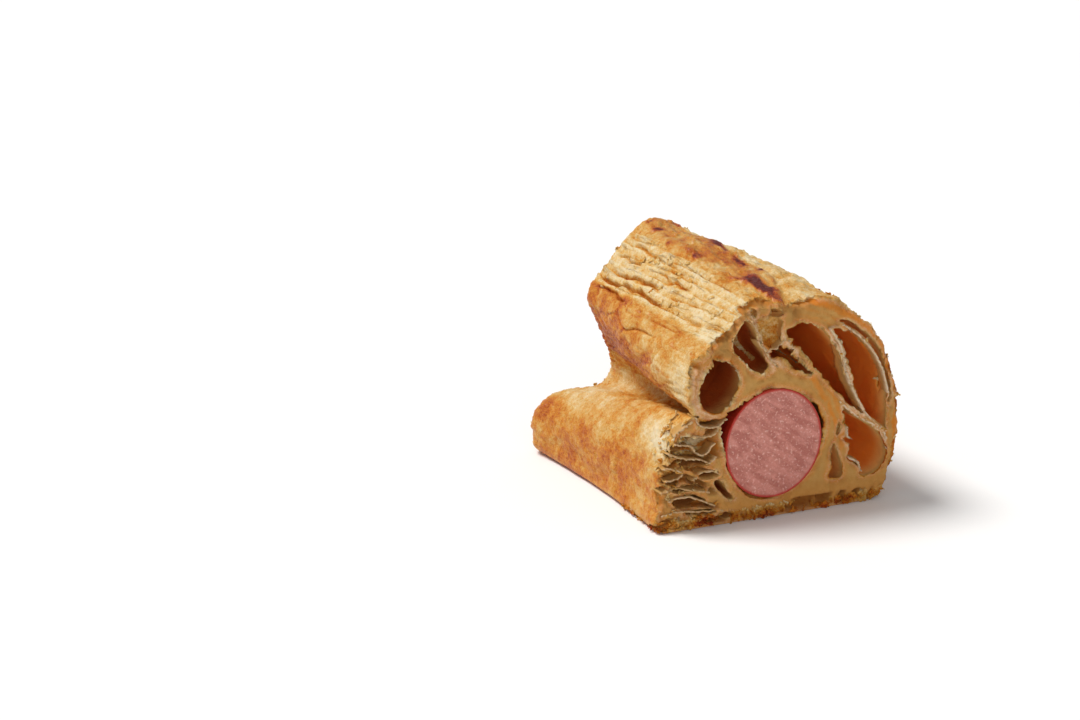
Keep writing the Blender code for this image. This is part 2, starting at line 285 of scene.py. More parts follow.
# %% Widen the pockets until only films are left between them
# outline (x, z), how deep it runs, and its drift in x and z on the way
POCKETS = {
    "great pocket": (((31.6, 43.0), (33.8, 44.2), (37.0, 44.5), (40.2, 43.6), (42.8, 41.4), (44.7, 38.9),
                      (45.9, 36.2), (46.5, 34.0), (47.4, 30.9), (49.0, 27.4), (50.5, 24.9), (52.6, 22.0),
                      (53.4, 20.8), (51.0, 22.2), (48.0, 25.0), (46.0, 26.9), (43.3, 29.0), (42.0, 31.0),
                      (39.4, 33.7), (36.0, 37.4), (33.0, 41.0)), 28.5, (1.0, 1.0)),
    "fold pocket": (((44.0, 42.2), (46.8, 41.9), (49.6, 40.0), (53.0, 36.6), (55.5, 33.4), (57.2, 30.2),
                     (58.3, 25.6), (59.2, 20.0), (59.3, 16.7), (57.7, 18.1), (55.8, 19.6), (54.3, 21.0),
                     (52.4, 24.0), (50.8, 27.2), (49.4, 30.6), (48.2, 34.0), (47.4, 36.8), (46.1, 39.4)),
                    25.5, (0.0, 0.5)),
    "heel pocket": (((47.5, 23.5), (49.4, 22.0), (51.7, 20.2), (54.9, 18.0), (57.4, 16.0), (58.9, 13.6),
                     (59.6, 11.0), (59.3, 8.6), (57.6, 6.8), (54.8, 6.0), (52.8, 6.3), (52.5, 8.0),
                     (51.2, 9.4), (49.3, 10.9), (49.8, 13.2), (48.5, 15.4), (49.3, 17.3), (48.0, 18.6),
                     (47.7, 20.8)), 19.5, (-0.5, 0.0)),
    "crescent": (((45.9, 43.8), (49.4, 42.0), (53.0, 39.0), (56.0, 35.2), (58.1, 31.0), (59.4, 26.0),
                  (60.0, 21.9), (60.4, 23.8), (60.0, 27.4), (58.7, 31.9), (56.8, 36.2), (53.8, 39.9),
                  (50.0, 42.8), (47.0, 44.2)), 6.0, (0.0, 0.0)),
    "tall pocket": (((19.0, 41.4), (20.4, 38.8), (22.4, 36.8), (24.0, 34.6), (26.6, 33.4), (29.2, 34.6),
                     (28.2, 36.6), (26.6, 38.6), (25.3, 41.2), (24.0, 44.6), (22.2, 46.6), (20.3, 44.4)),
                    10.5, (1.0, 0.0)),
    "pale pocket": (((25.8, 42.0), (27.2, 39.8), (29.8, 39.6), (31.4, 40.9), (30.9, 43.4), (31.2, 45.6),
                     (28.4, 46.9), (25.3, 46.7), (24.9, 44.6)), 3.2, (0.5, 0.0)),
    "slanted pocket": (((27.8, 38.9), (29.8, 36.6), (33.6, 33.8), (37.2, 32.2), (39.9, 32.2), (37.9, 34.7),
                        (35.2, 37.2), (33.4, 39.8), (30.6, 40.1)), 10.5, (1.5, 0.0)),
    "round pocket": (((10.5, 28.4), (12.8, 26.4), (15.8, 26.1), (18.9, 28.0), (20.8, 31.2), (20.9, 34.4),
                      (18.9, 37.2), (15.2, 38.5), (12.1, 37.0), (10.4, 33.2)), 16.5, (1.5, 1.0)),
    "ridge cell": (((28.3, 49.0), (28.4, 47.0), (30.4, 46.6), (31.6, 47.3), (29.9, 48.7)), 3.0, (0, 0)),
    "brow cell": (((23.4, 48.7), (24.3, 46.9), (25.2, 47.6), (24.6, 49.3)), 2.5, (0, 0)),
    "lens cell": (((10.6, 12.3), (12.4, 11.4), (15.6, 11.6), (16.2, 12.4), (13.8, 13.3)), 5.0, (0, 0)),
    "long cell": (((3.6, 9.6), (6.4, 8.9), (10.6, 9.0), (13.4, 8.3), (11.0, 10.1), (6.0, 10.4)),
                  4.0, (0, 0)),
    "toe cell": (((1.9, 11.6), (3.6, 10.2), (6.4, 11.3), (6.9, 13.2), (4.6, 14.4), (2.6, 13.4)),
                 4.0, (0, 0)),
    "curl cell": (((5.2, 16.6), (8.4, 15.2), (12.6, 15.6), (15.2, 16.3), (12.2, 17.9), (8.6, 17.9)),
                  4.5, (0, 0)),
    "petal cell": (((5.6, 20.9), (8.2, 18.9), (12.2, 18.8), (14.2, 20.0), (11.4, 21.4), (8.0, 22.4)),
                   4.0, (0, 0)),
    "upper petal": (((9.8, 23.9), (11.6, 22.6), (15.4, 22.6), (17.2, 24.4), (13.6, 24.6), (11.0, 25.0)),
                    4.0, (0, 0)),
    "sole cell": (((14.6, 1.7), (16.4, 1.0), (19.2, 1.1), (20.2, 2.2), (17.8, 2.6)), 5.0, (0, 0)),
    "seam cell": (((6.6, 3.6), (9.0, 3.0), (13.2, 2.7), (16.0, 3.4), (12.2, 4.1)), 3.0, (0, 0)),
    "side slit": (((46.0, 17.6), (46.9, 16.5), (47.6, 18.4), (46.9, 20.2)), 3.0, (0, 0)),
}
# share of the depth (in front of the cut: mm), share of the full size
TAPER = ((-1.5, 1.0), (0.0, 1.0), (0.4, 0.98), (0.75, 0.86), (1.0, 0.45))


def smooth_line(corners, parts=4, closed=True):
    """A curve through the corners, with a few steps between each two."""
    corners = np.array(corners, float)
    if closed:
        before, after, far = (np.roll(corners, shift, 0) for shift in (1, -1, -2))
    else:
        first, last = 2 * corners[0] - corners[1], 2 * corners[-1] - corners[-2]
        padded = np.vstack([first, corners, last])
        before, corners, after, far = padded[:-3], padded[1:-2], padded[2:-1], padded[3:]
    points = []
    for share in np.arange(parts) / parts:
        points.append(0.5 * (2 * corners + (after - before) * share
                             + (2 * before - 5 * corners + 4 * after - far) * share ** 2
                             + (3 * corners - before - 3 * after + far) * share ** 3))
    line = np.stack(points, 1).reshape(-1, 2)
    return line if closed else np.vstack([line, padded[-2]])


def pocket_cutter(name, corners, reach, drift):
    """A tapering plug with the pocket's outline, standing a little out of the cut face."""
    loop = smooth_line(corners)
    middle = loop.mean(axis=0)
    shape = bmesh.new()
    rings = []
    for share, size in TAPER:
        y = share * reach if share > 0 else share
        ring = middle + (loop - middle) * size + np.array(drift) * max(share, 0.0)
        rings.append([shape.verts.new(place(x, y, z)) for x, z in ring])
    for lower, upper in zip(rings, rings[1:]):
        ends = [shape.edges.get(pair) or shape.edges.new(pair)
                for ring in (lower, upper) for pair in zip(ring, ring[1:] + ring[:1])]
        bmesh.ops.bridge_loops(shape, edges=ends)
    for ring, side in ((rings[0], -1), (rings[-1], 1)):
        ends = [shape.edges.get(pair) for pair in zip(ring, ring[1:] + ring[:1])]
        bmesh.ops.triangle_fill(shape, edges=ends, use_beauty=True, normal=(0, side, 0))
    bmesh.ops.recalc_face_normals(shape, faces=shape.faces)
    return object_from(shape, name)


for name, (corners, reach, drift) in POCKETS.items():
    plug = pocket_cutter(name, corners, reach, drift)
    carve = pastry.modifiers.new(name, "BOOLEAN")
    carve.operation = "DIFFERENCE"
    carve.object = plug
    finish_modifiers(pastry)
    bpy.data.objects.remove(plug)
print(len(POCKETS), "pockets carved:", len(pastry.data.vertices), "points")

# %% Keep the carved form for measuring, then remesh
PLANE_REACH = 0.02              # how near the cut plane a point counts as on it, in mm


def rim_points(item, spacing=0.25):
    """Points along every edge where the flat cut face ends."""
    shape = bmesh.new()
    shape.from_mesh(item.data)
    shape.normal_update()
    found = []
    for edge in shape.edges:
        ends = [(np.array(vertex.co) - CORNER) / MM for vertex in edge.verts]
        if max(abs(end[1]) for end in ends) > PLANE_REACH or len(edge.link_faces) != 2:
            continue
        flat = [face.normal.y < -0.99 for face in edge.link_faces]
        if flat[0] == flat[1]:
            continue
        count = max(1, int(np.linalg.norm(ends[1] - ends[0]) / spacing))
        found += [ends[0] + (ends[1] - ends[0]) * part / count for part in range(count)]
    shape.free()
    return np.array(found)


def tree_of(points):
    """A tree that finds the nearest of the points."""
    tree = KDTree(len(points))
    for index, point in enumerate(points):
        tree.insert(point, index)
    tree.balance()
    return tree


RIM = rim_points(pastry)
rim_tree = tree_of(RIM)
carved_tree = BVHTree.FromPolygons(
    [tuple(point) for point in read_points(pastry.data)],
    [tuple(face.vertices) for face in pastry.data.polygons])

remesh = pastry.modifiers.new("remesh", "REMESH")
remesh.mode = "VOXEL"
remesh.voxel_size = VOXEL
finish_modifiers(pastry)
print("rim points:", len(RIM), " even skin:", len(pastry.data.vertices), "points")

# %% [markdown]
# ## Know each point's place
# The looks depend on where a point is: on the baked skin, on the knife's cut, or inside a steam
# pocket. A ray along the normal tells the inside from the outside: inside a pocket it meets the
# opposite wall. The notch between the flaps is skin all the same, so it is told apart by place.

# %% Smooth the facets away and sort the points
points = read_points(pastry.data)
normals = read_normals(pastry.data)
edges = read_edges(pastry.data)
on_cut = (points[:, 1] < 0.3) & (normals[:, 1] < -0.75)
points[on_cut, 1] = 0.0
freedom = np.ones_like(points)
freedom[on_cut, 1] = 0.0
resting = points[:, 2] < 0.15
freedom[resting, 2] = 0.0
points = relax(points, edges, 12, 0.5, freedom)
write_points(pastry.data, points)
normals = read_normals(pastry.data)

RAY_REACH = 34.0
POCKETS_END = 30.0              # no pocket runs further back than this
ROUND_POCKET_END = 17.0         # and the round one, over the notch, ends before this
BORE_OUTSIDE = 17.5             # the bore's wall lies within this distance of the sausage's line


def inside_mask(points, normals, from_axis):
    """Which points face an opposite wall, as in a pocket or in the bore."""
    facing_wall = np.zeros(len(points), bool)
    for index in np.flatnonzero((points[:, 1] < POCKETS_END) | (from_axis < BORE_OUTSIDE)):
        start = Vector(points[index] + normals[index] * 0.12)
        hit = carved_tree.ray_cast(start, Vector(normals[index]), RAY_REACH)[0]
        facing_wall[index] = hit is not None
    x, y, z = points.T
    in_notch = (x < 19.5) & (z > 16.9) & (z < 31.5) & ((y > ROUND_POCKET_END) | (z < 25.9))
    return facing_wall & ~in_notch


from_axis = np.hypot(*(points[:, (0, 2)] - sausage_centre(points[:, 1])).T)
inside = inside_mask(points, normals, from_axis) & ~on_cut
in_bore = inside & (from_axis < BORE_OUTSIDE) & (from_axis > 10.0)
in_pocket = inside & (points[:, 1] < POCKETS_END) & ~(in_bore & (from_axis < 14.2))
on_skin = ~inside & ~on_cut
print("cut", on_cut.sum(), " inside", inside.sum(), " skin", on_skin.sum())

# %% Distance to the rims and to the baked skin
def distance_to(tree, points, wanted, far):
    """Distance to the tree's points, up to far, and far for what isn't wanted."""
    result = np.full(len(points), far)
    for index in np.flatnonzero(wanted):
        result[index] = tree.find(points[index])[2]
    return np.minimum(result, far)


rim_distance = distance_to(rim_tree, points, points[:, 1] < 5.0, 6.0)
skin_tree = tree_of(points[on_skin & (points[:, 1] > 0.3) & (points[:, 1] < 1.2)])
skin_depth = distance_to(skin_tree, points, on_cut, 12.0)
print("deepest crumb under the skin:", round(float(skin_depth.max()), 1), "mm")

# %% [markdown]
# ## Sculpt what baking did
# Each step moves the points along their normals by a pattern with a real size. A Displace
# modifier could do the same for one pattern, but here each region of the skin has its own. The
# flaps and the baked end show the edges of the lifted layers. The crown, the nose of the upper
# flap and the lower flap are egg-washed skin with fine wrinkles. Torn rims come last.

# %% Regions of the skin
# each region is 1 inside and fades to 0 round it; x, y and z stay views of the moving points
x, y, z = points.T
angle = section_angle(points)
depth = layer_depth(points)
end_face = step(normals[:, 1], 0.45, 0.8) * on_skin * step(y, 52.0, 56.0)
notch = on_skin * band(angle, 158.0, 184.0, 5.0) * step(x, 9.0, 13.0) * step(31.0 - z, 0.0, 3.0)
flank = on_skin * band(angle, 104.0, 127.0, 4.0) * (1.0 - end_face)
nose = on_skin * band(angle, 131.0, 160.0, 4.0) * (1.0 - end_face)
crown = on_skin * band(angle, 25.0, 103.0, 5.0) * (1.0 - end_face)
fold = on_skin * band(angle, -60.0, 30.0, 10.0) * (1.0 - end_face) * step(z, 1.0, 5.0)
lower_flap = on_skin * step(angle, 172.0, 182.0) * (1.0 - end_face) * step(24.0 - x, 0.0, 6.0)
sole = on_skin * (1.0 - step(z, 0.3, 1.6)) * step(-normals[:, 2], 0.3, 0.8)
above_sole = step(z, 0.2, 3.0)

# the glazed streak along the ridge: its middle line and half width
streak_middle = 31.4 - 0.9 * step(y, 10.0, 50.0) + 0.9 * noise(points * (0, 1, 0), 9.0, 3)
streak_half = 1.2 + 4.6 * step(y, 0.0, 22.0) - 1.6 * step(y, 40.0, 60.0)
streak_edge = (np.abs(x - streak_middle) - streak_half + 1.0 * fractal(points, 3.4, 5, 3))
streak = on_skin * (1.0 - step(streak_edge, -0.6, 0.7)) * step(normals[:, 2], 0.15, 0.5)
streak *= step(z, 44.0, 47.0)
print("streak covers", int((streak > 0.5).sum()), "points")

# %% Lift the layers
def sheets(pile, spacing, seed):
    """Sheets that rise slowly to a torn edge and drop there, and how near that edge is."""
    uneven = pile / spacing + 0.35 * noise(np.stack([pile, 0 * pile, 0 * pile], 1), spacing * 2.3, seed)
    share = uneven - np.floor(uneven)
    rise = share * (1.0 - step(share, 0.86, 1.0))
    return rise - 0.42, bell(share - 0.93, 0.09)


# the pile, bent by long waves, and two sizes of sheets lifted from it
warped = (depth + 1.1 * fractal(points, (9.0, 30.0, 9.0), 11, 2)
          + 0.22 * fractal(points, (2.2, 5.0, 2.2), 12, 3))
coarse_layers, coarse_edge = sheets(warped, 1.55, 21)
fine_layers, fine_edge = sheets(warped + 0.35 * fractal(points, (2.6, 9.0, 2.6), 23), 0.62, 22)
broken = step(fractal(points, (3.0, 11.0, 3.0), 31, 2), -0.6, 0.7)
near_lip = nose * (1.0 - step(y, 5.0, 26.0))
layered = np.clip(flank + 0.9 * end_face + 0.14 * nose + 0.34 * near_lip + 0.22 * crown * (1.0 - streak)
                  + 0.06 * lower_flap + 0.5 * notch + 0.45 * fold, 0.0, 1.0) * above_sole
lift = layered * broken * (0.72 * coarse_layers - 0.3 * coarse_edge + 0.30 * fine_layers)
# plates: where the topmost layer is still there; peeled: how much its edge stands out
plates = step(fractal(points, (3.2, 5.5, 3.2), 24, 4), 0.02, 0.16)
small_plates = step(fractal(points, (1.5, 2.6, 1.5), 25, 3), 0.05, 0.25)
flap_ridge = lower_flap * step(z, 13.0, 17.0) * (1.0 - step(y, 8.0, 18.0))
peeled = np.clip(0.8 * crown * (1.0 - streak) + 0.5 * nose + 0.15 * flank + 0.5 * fold
                 + 0.6 * end_face + 0.15 * lower_flap + 0.85 * flap_ridge, 0.0, 1.0)
peeled *= above_sole
crevice = np.maximum(coarse_edge, 0.6 * fine_edge)
print("layers show on", int((layered > 0.3).sum()), "points")

# %% Long splits between the layers of the upper flap
# each: section angle, start and end along the roll, half width, depth
SPLITS = (
    (130.2, 38.0, 59.0, 0.34, 1.5), (125.4, 26.0, 60.0, 0.42, 2.0), (123.8, 8.0, 19.0, 0.50, 1.3),
    (119.8, 31.0, 58.0, 0.36, 1.5), (115.0, 44.0, 60.0, 0.30, 1.2), (111.5, 20.0, 40.0, 0.26, 0.9),
    (107.4, 30.0, 56.0, 0.28, 0.9), (133.6, 12.0, 30.0, 0.24, 0.6), (140.5, 18.0, 47.0, 0.26, 0.6),
)
radius = np.hypot(x - TURN_CENTRE[0], z - TURN_CENTRE[1])
split_depth = np.zeros(len(points))
for number, (at, start, end, half, deep) in enumerate(SPLITS):
    along = points * (0, 1, 0) + number * 50.0
    sway = 1.4 * noise(along, 8.0, 40) + 0.5 * noise(along, 2.6, 41)
    off = np.radians(angle - at) * radius + sway
    taper = step(y, start, start + 5.0) * (1.0 - step(y, end - 6.0, end))
    split_depth = np.maximum(split_depth, deep * bell(off, half) * taper)
split_depth *= on_skin * (1.0 - end_face)
print("deepest split:", round(float(split_depth.max()), 1), "mm")

# %% Blisters, wrinkles and dents of the egg-washed skin
big = fractal(points, (11.0, 17.0, 11.0), 51, 3)
wrinkle = fractal(np.stack([np.radians(angle) * radius, y, 0.0 * y], 1), (1.5, 5.0, 1.0), 52, 3)
oblique = np.radians(angle) * radius * 0.8 + 0.42 * y + 1.6 * fractal(points, 7.0, 57, 3)
fold_lines = noise(np.stack([oblique, y * 0.06, 0.0 * y], 1), (1.5, 1.0, 1.0), 58)
fold_lines = (0.5 - 1.3 * bell(fold_lines, 0.2)) * step(fractal(points, 6.0, 59, 2), -0.7, 0.4)
blister = np.maximum(fractal(points, 2.4, 53, 2) - 0.35, 0.0)
skin_move = on_skin * above_sole * (
    1.0 * big
    + peeled * (0.26 * plates + 0.14 * small_plates)
    + 0.34 * wrinkle * np.clip(nose + crown + 0.5 * fold + 0.3 * lower_flap, 0, 1)
    + 0.26 * fold_lines * np.clip(nose + 0.4 * crown * (1.0 - streak), 0, 1)
    + 0.95 * blister * np.clip(streak + 0.3 * crown + 0.2 * nose, 0, 1)
    + (0.15 + 0.07 * lower_flap) * fractal(points, 1.1, 56, 3)
    + streak * (0.7 + 0.75 * noise(points, (7.0, 8.0, 7.0), 60)))
skin_move += lift * on_skin - split_depth
pocket_move = in_pocket * step(y, 0.2, 3.0) * 0.3 * fractal(points, (4.0, 7.0, 4.0), 54, 3)
points += normals * (skin_move + pocket_move)[:, None]
bore_wall = in_bore * (1.0 - step(from_axis, 16.2, 17.0)) * step(y, 40.0, 50.0)
bore_layers = noise(np.stack([y, angle / 9.0, 0.0 * y], 1), (0.9, 3.0, 1.0), 130)
bore_ridges = 0.25 + 0.5 * np.abs(bore_layers) + 0.3 * np.abs(fractal(points, 1.6, 131, 2))
points -= normals * (bore_wall * bore_ridges)[:, None]
print("skin moved by", round(float(skin_move.min()), 1), "to", round(float(skin_move.max()), 1), "mm")

# %% [markdown]
# The knife crushes and tears: between the pockets the cut is no flat plane but a ragged edge of
# sheets, some broken off deeper than others. A height for each (x, z) of the cut says how far it
# is broken back; every point in front of that height is pushed back to it, walls and skin too.

# %% Break the cut back unevenly
def broken_back(points):
    """How far behind the knife's plane the dough is broken off, in mm."""
    x, z = points[:, 0], points[:, 2]
    flat = points * (1.0, 0.0, 1.0)
    depth = layer_depth(flat)
    # where the sheets are loose: the lower flap, the sole, the fold and over the tall pocket
    stack = np.clip(step(17.0 - x, 0.0, 2.5) * step(26.5 - z, 0.0, 3.0) + step(3.6 - z, 0.0, 1.6)
                    + 0.7 * step(depth, 27.5, 29.5) * step(x, 30.0, 40.0)
                    + 0.8 * band(x, 17.0, 27.0, 3.0) * step(z, 44.5, 46.5), 0.0, 1.0)
    # they lie level in the lower flap and run round the sausage elsewhere
    level = z + 2.4 * noise(flat, (7.0, 1.0, 5.0), 101) + 0.35 * noise(flat, 2.2, 102)
    curved = depth + 0.8 * fractal(flat, (4.0, 1.0, 4.0), 103, 3)
    pile = np.where(x < 18.0, level, curved)
    # some of them are broken off deeper
    wave = noise(np.stack([pile, x / 9.0, 0.0 * x], 1), (1.5, 1.0, 1.0), 104)
    gap = step(-wave, -0.05, 0.4) * step(fractal(flat, 4.2, 105, 2), -0.8, 0.0)
    back = stack * (2.9 * gap + 0.32 * np.clip(fractal(flat, 1.3, 106, 3) + 0.4, 0.0, 2.0))
    # the shoulder over the notch and the ridge tore before the knife came
    shoulder = step(24.0 - x, 0.0, 5.0) * step(z, 33.0, 38.0)
    ridge = step(10.6 - np.abs(x - 27.0), 0.0, 3.0) * step(z, 46.0, 48.0)
    torn = np.clip(fractal(flat * (1.0, 1.0, 0.7), 1.8, 110, 3) + 0.1, 0.0, 1.0)
    back += np.clip(shoulder + 0.7 * ridge, 0.0, 1.0) * (1.9 * torn + 0.5)
    hollow = np.clip(fractal(flat, 6.0, 107, 2), 0.0, 1.0)
    back += 0.55 * hollow + 0.16 * np.clip(fractal(flat, 0.9, 108, 3) + 0.3, 0.0, 2.0)
    return back


back = broken_back(points)
front = points[:, 1] < 6.0
edge_chips = np.clip(fractal(points * (1, 0, 1), 2.6, 109, 3) + 0.1, 0, 1) * bell(rim_distance, 1.3)
back = (back + 0.96 * edge_chips) * step(points[:, 2], 0.1, 0.8)
hollowed = np.where(front & (points[:, 1] < back), back - points[:, 1], 0.0)
points[:, 1] = np.where(front, np.maximum(points[:, 1], back), points[:, 1])
print("deepest break in the cut:", round(float(hollowed.max()), 1), "mm")

# %% Tear the rims
# thin walls between two pockets tear furthest and get the strongest painted highlight on their rims: how
# much so, and their line (x, z)
THIN_WALLS = (
    (0.9, ((43.4, 42.2), (45.5, 39.2), (46.9, 36.0), (47.6, 33.0), (50.2, 26.6), (53.8, 20.8))),
    (0.8, ((47.0, 24.4), (49.3, 22.4), (52.0, 20.3), (55.3, 18.6), (58.0, 16.6), (59.4, 14.5))),
    (0.55, ((23.6, 46.6), (25.4, 43.0), (27.6, 38.6), (30.2, 35.0))),
    (0.5, ((32.0, 42.0), (35.2, 38.2))),
    (0.45, ((9.8, 36.0), (9.6, 31.0), (10.6, 27.4), (14.0, 25.2))),
    (0.4, ((48.4, 17.2), (48.2, 13.0), (52.2, 8.4))),
    (0.35, ((50.2, 40.8), (54.6, 37.4), (57.6, 32.6), (59.4, 25.0))),
)
film = np.zeros(len(points))
for paleness, line in THIN_WALLS:
    for (x0, z0), (x1, z1) in zip(line, line[1:]):
        for share in np.linspace(0.0, 1.0, 6):
            gap = np.hypot(x - x0 - (x1 - x0) * share, z - z0 - (z1 - z0) * share)
            film = np.maximum(film, paleness * bell(gap, 1.5))
film *= points[:, 1] < 5.0
near_rim = bell(rim_distance, 0.9) * (points[:, 1] < 4.0)
tear = np.stack([0.42 * noise(points, 1.9, 61 + axis) + 0.26 * noise(points, 0.75, 64 + axis)
                 for axis in range(3)], axis=1)
tear[:, 1] *= 1.3
tear[:, 1] = np.maximum(tear[:, 1] - film * 0.5, -points[:, 1])
points += tear * (near_rim * np.minimum(1.0, 0.55 + film))[:, None] * above_sole[:, None]
points[:, 2] = np.maximum(points[:, 2], 0.0)
write_points(pastry.data, points)
print("sculpted; highest point at", round(float(points[:, 2].max()), 2), "mm")

# %% [markdown]
# ## Say how baked and how shaded each point is
# Heat browns what sticks out and what was brushed with egg, and leaves the inside of the layers
# pale. Painted shade darkens the splits, the drops between layers, the wrinkles' grooves and the
# notch. Numbers stored on the points carry that to the material: how baked and how shaded the skin
# is, what is crumb, how far inside a pocket a point lies, how near it is to a torn rim.

# %% Browning and painted shade
cloud = fractal(points, 6.5, 81, 4)
speckle = fractal(points, 1.4, 82, 3)
browning_and_shade = np.full(len(points), 0.44)

# by region: the fold and the sole brown most, the flank and the fold's side of the crown least; the notch
# between the flaps gets painted shade
browning_and_shade += 0.05 * nose + 0.20 * fold + 0.10 * notch + 0.30 * sole + 0.02 * lower_flap
browning_and_shade -= 0.22 * flank + 0.14 * end_face + 0.17 * crown * step(x, 33.0, 38.0)

# the nose of the upper flap: pale beside the cut, darker under its bulge and further back
browning_and_shade -= 0.24 * nose * (1.0 - step(y, 3.0, 24.0)) * step(angle, 134.0, 144.0)
browning_and_shade += 0.24 * nose * step(angle, 136.0, 158.0) * step(y, 4.0, 34.0)
browning_and_shade += 0.14 * nose * step(y, 26.0, 48.0)
# painted shade on the upper flap's underside where it overhangs the notch
browning_and_shade += 0.08 * on_skin * band(angle, 158.0, 172.0, 5.0) * step(z, 22.0, 27.0)

# the lower flap: a brown band along its side, and flour left on its top beside the cut
flap_band = lower_flap * band(z, 2.0, 12.5, 3.0)
flour = lower_flap * step(z, 15.0, 19.0) * (1.0 - step(y + 3.0 * fractal(points, 4.0, 83, 3), 9.0, 17.0))
browning_and_shade += 0.13 * flap_band * (0.5 + 0.6 * step(y, 8.0, 30.0))
browning_and_shade -= 0.34 * flour + 0.16 * lower_flap * step(z, 13.5, 16.5) * step(y, 30.0, 50.0)

# the glazed streak: dark where the egg wash gathered along its edges, and scorched near the cut
scorch = bell(np.hypot((x - 30.6) / 2.2, (y - 9.5) / 7.0), 1.0)
gathered = bell(streak_edge + 1.0, 1.1) * step(cloud, -0.2, 0.7)
browning_and_shade += streak * (0.11 + 0.58 * gathered + 0.85 * scorch)

# unevenness: torn plates and layers are pale on top; painted shade darkens them along the drops at their
# torn edges and in the splits
uneven = 0.12 * cloud + 0.10 * speckle + 0.08 * fractal(points, 2.8, 84, 2)
browning_and_shade += uneven * np.where(streak > 0.5, 1.3, 1.0)
browning_and_shade -= 0.09 * peeled * (plates - 0.5) + 0.06 * peeled * (small_plates - 0.5)
browning_and_shade -= 0.22 * layered * coarse_layers
browning_and_shade += 0.30 * np.clip(split_depth, 0.0, 1.0) + 0.34 * layered * crevice * broken
# painted light and shade on the wrinkles: paler on their ridges, darker in their grooves
browning_and_shade -= 0.12 * np.clip(nose + 0.5 * crown, 0, 1) * np.clip(fold_lines, -1.0, 0.6)

# only the streak gets darker than brown
MOST_BAKED = 0.74
browning_and_shade = np.where(streak > 0.4, browning_and_shade, np.minimum(browning_and_shade, MOST_BAKED + 0.1 * (browning_and_shade - MOST_BAKED)))
browning_and_shade = np.clip(browning_and_shade, 0.0, 1.1)
glaze = np.clip(streak + 0.5 * nose + 0.6 * lower_flap + 0.4 * crown, 0.0, 1.0)
print("the skin is baked to", round(float(browning_and_shade[on_skin].mean()), 2), "on average")

# %% Crumb, pockets and rims
crumb = np.where(on_skin, 0.0, 1.0)
# rim: where a painted highlight lies along the torn rims of the cut
rim = bell(rim_distance, 0.5) * (points[:, 1] < 1.6)

# the fine cells of the lower flap are nearly as pale as the crumb; the large pockets aren't. Those
# beside the fold have thin walls and get a painted glow, the others get painted shade, and all
# of them darken deeper in, painted shade and bounce light
small_cells = step(18.0 - x, 0.0, 2.0) * step(26.0 - z, 0.0, 2.0)
pocket_depth = np.where(in_pocket, step(y, 0.6, 6.5), 0.0)
pocket_wall = np.where(in_pocket, step(y, 0.5, 2.2), 0.0) * (1.0 - 0.75 * small_cells)
pocket_light = step(x - 0.4 * (40.0 - z), 33.0, 36.0)
# hollow: painted shade in the broken-back hollows of the cut and in the lower flap's small cells
hollow = np.clip(hollowed / 2.5 + in_pocket * small_cells * step(y, 0.5, 3.0), 0.0, 1.0)

# the crust shows in the cut as a brown edge, which is wider and layered round the fold
outer = step(x, 34.0, 40.0) * step(z, 8.0, 16.0)
line_noise = noise(np.stack([warped, 0 * y, 0 * y], 1), (0.55, 1.0, 1.0), 140)
crust_lines = 0.55 + 0.45 * np.clip(line_noise * 2.0, -1, 1)
crust_edge_and_shade = np.maximum(bell(skin_depth, 0.8), outer * bell(skin_depth, 3.2) * crust_lines) * on_cut
# the foot of the cut is tinted towards the crust's orange-brown as well: painted shade
crust_edge_and_shade = np.maximum(crust_edge_and_shade, 0.35 * on_cut * step(9.0 - z, 0.0, 7.0))

stored = {"browning_and_shade": browning_and_shade, "glaze": glaze, "layer_depth": warped, "layered": layered * on_skin,
          "crumb": crumb, "hollow": hollow, "crust_edge_and_shade": crust_edge_and_shade, "rim": rim, "film": film,
          "pocket_light": pocket_light, "pocket_wall": pocket_wall, "pocket_depth": pocket_depth}
for name, values in stored.items():
    set_attribute(pastry.data, name, values)
print("stored on each point:", ", ".join(stored))

# %% Thin the mesh where it is flat
MOST_TRIANGLES = 254000
triangles = sum(len(face.vertices) - 2 for face in pastry.data.polygons)
thin = pastry.modifiers.new("thin", "DECIMATE")
thin.ratio = min(1.0, MOST_TRIANGLES / triangles)
finish_modifiers(pastry)
pastry.data.shade_smooth()
print("pastry:", triangles, "triangles thinned to", MOST_TRIANGLES)

# %% [markdown]
# The baked crust and the crumb inside are kept as two pieces. They meet along the edge of the
# cut, and share every point there.

# %% Part the crust from the crumb
def keep_faces(item, wanted):
    """Delete every face whose place in wanted is false."""
    shape = bmesh.new()
    shape.from_mesh(item.data)
    shape.faces.ensure_lookup_table()
    unwanted = [face for face in shape.faces if not wanted[face.index]]
    bmesh.ops.delete(shape, geom=unwanted, context="FACES")
    shape.to_mesh(item.data)
    shape.free()


crumb_values = np.empty(len(pastry.data.vertices), np.float32)
pastry.data.attributes["crumb"].data.foreach_get("value", crumb_values)
is_crumb = np.array([crumb_values[list(face.vertices)].mean() > 0.5 for face in pastry.data.polygons])
pastry_crumb = add_object("pastry_crumb", pastry.data.copy())
pastry_crust = pastry
pastry_crust.name = "pastry_crust"
keep_faces(pastry_crumb, is_crumb)
keep_faces(pastry_crust, ~is_crumb)
print("crust", len(pastry_crust.data.polygons), "faces, crumb", len(pastry_crumb.data.polygons))

# %% [markdown]
# ## Materials
# Colours are sRGB hex values, turned to linear by one function. One small function adds a node.

# %% Colour and node helpers
def linear(hex_colour):
    """A linear colour, with alpha, from an sRGB hex value."""
    parts = [int(hex_colour[start:start + 2], 16) / 255.0 for start in (1, 3, 5)]
    parts = [part / 12.92 if part <= 0.04045 else ((part + 0.055) / 1.055) ** 2.4 for part in parts]
    return (*parts, 1.0)


